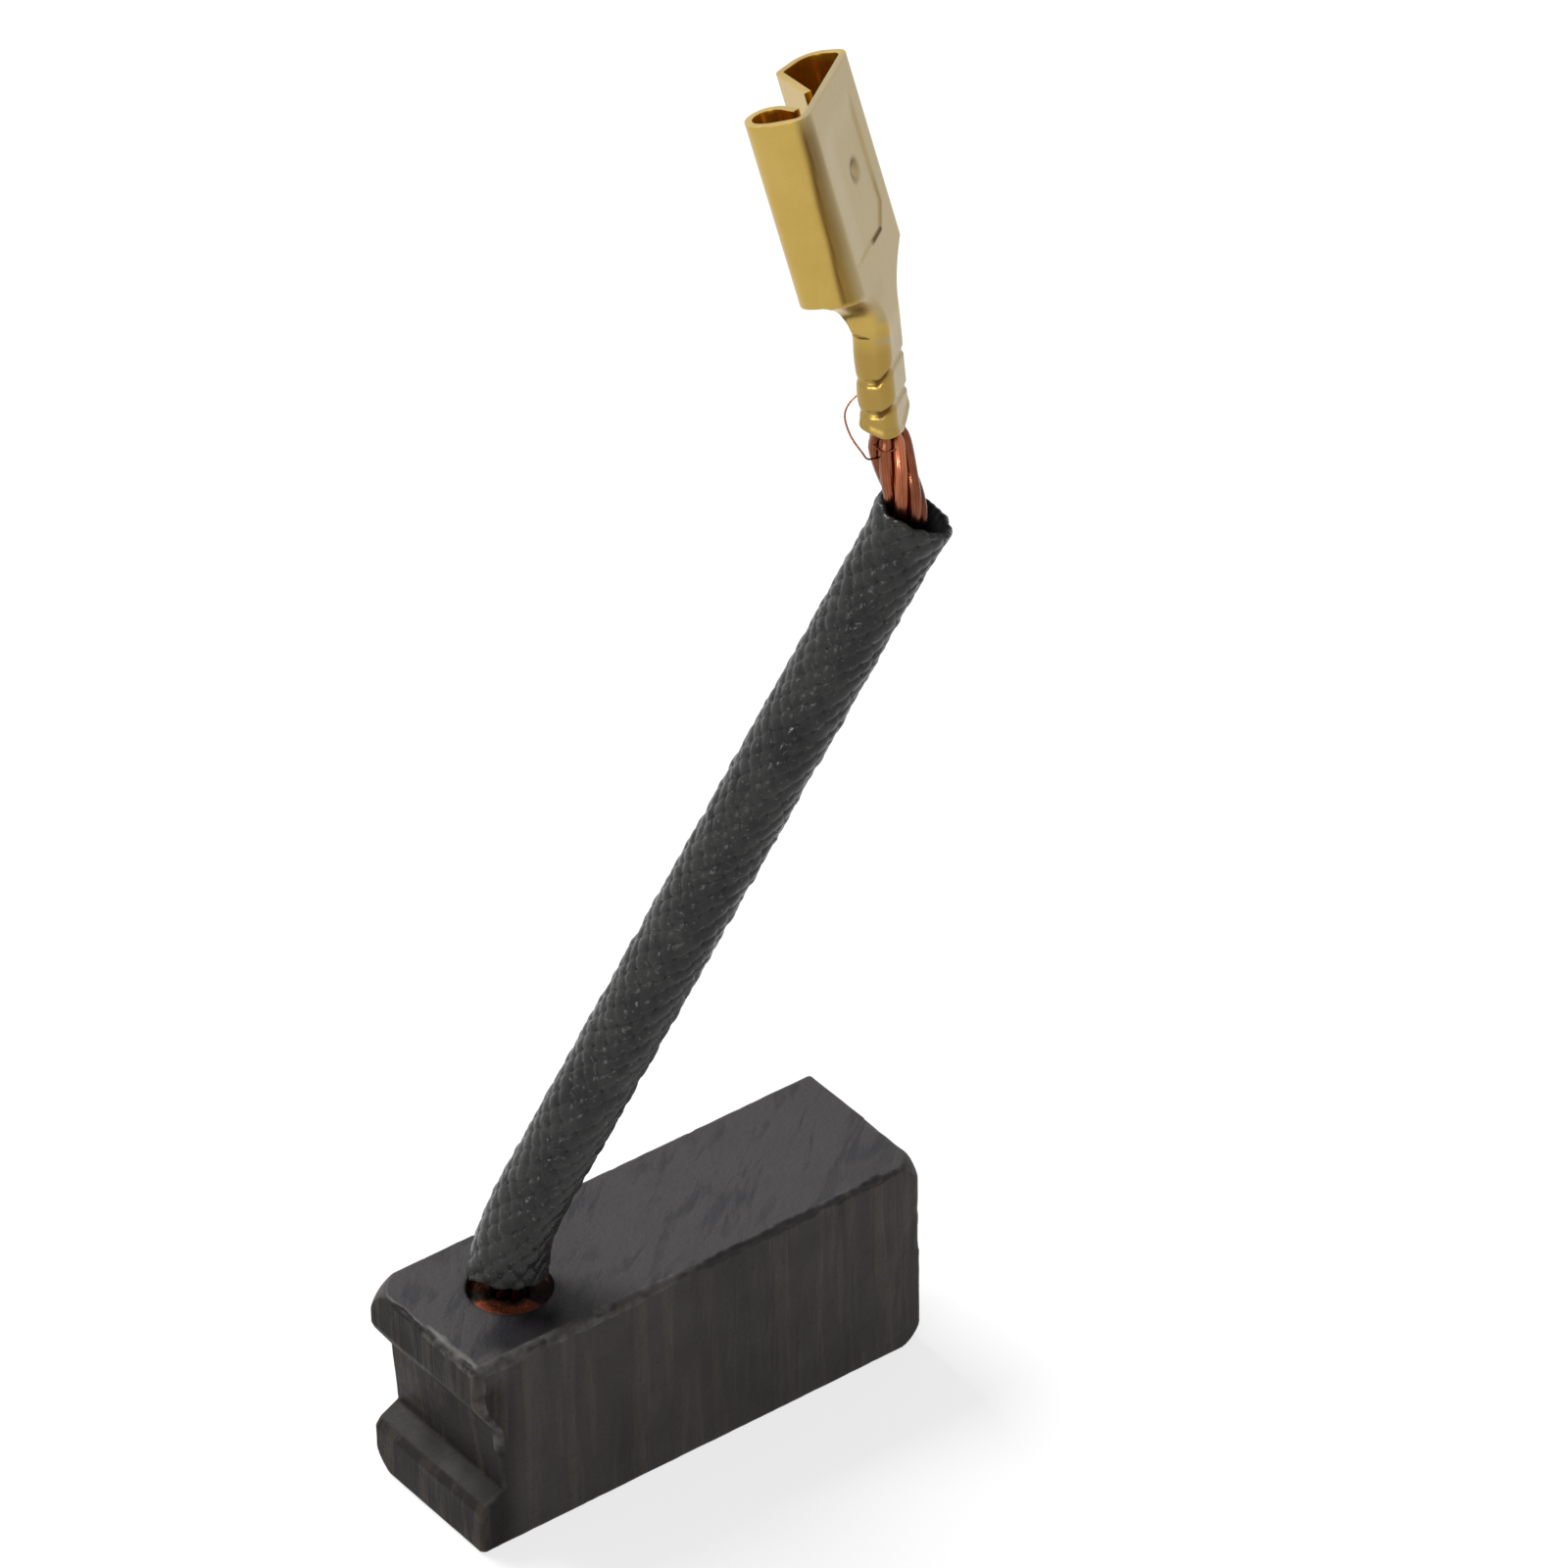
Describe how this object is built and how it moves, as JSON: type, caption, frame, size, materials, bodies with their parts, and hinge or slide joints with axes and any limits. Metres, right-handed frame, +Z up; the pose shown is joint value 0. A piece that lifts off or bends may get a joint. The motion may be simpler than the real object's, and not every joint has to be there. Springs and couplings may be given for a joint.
{
  "type": "carbon brush",
  "caption": "Carbon brush block with a spring groove, an insulated copper pigtail and a rolled push-on tab receptacle.",
  "frame": {"origin": "middle of the block's underside", "axes": "+X along the block from the spring groove to the contact end, +Y across the block, +Z up out of the face the lead leaves"},
  "size_m": [0.019, 0.0104, 0.0528],
  "materials": {
    "carbon": "dull grey-black electrographite with fine sawn and pressed grain, bruised edges",
    "powder": "rusty brown tamped copper powder",
    "copper": "bright copper rope of fine laid wires",
    "sleeving": "charcoal braided sleeving with a dull varnish",
    "brass": "bright formed brass strip"
  },
  "bodies": {
    "root": {"carbon_block": "carbon", "tamping_powder": "powder", "lead": "copper", "sleeve": "sleeving", "terminal": "brass"}
  },
  "joints": []
}
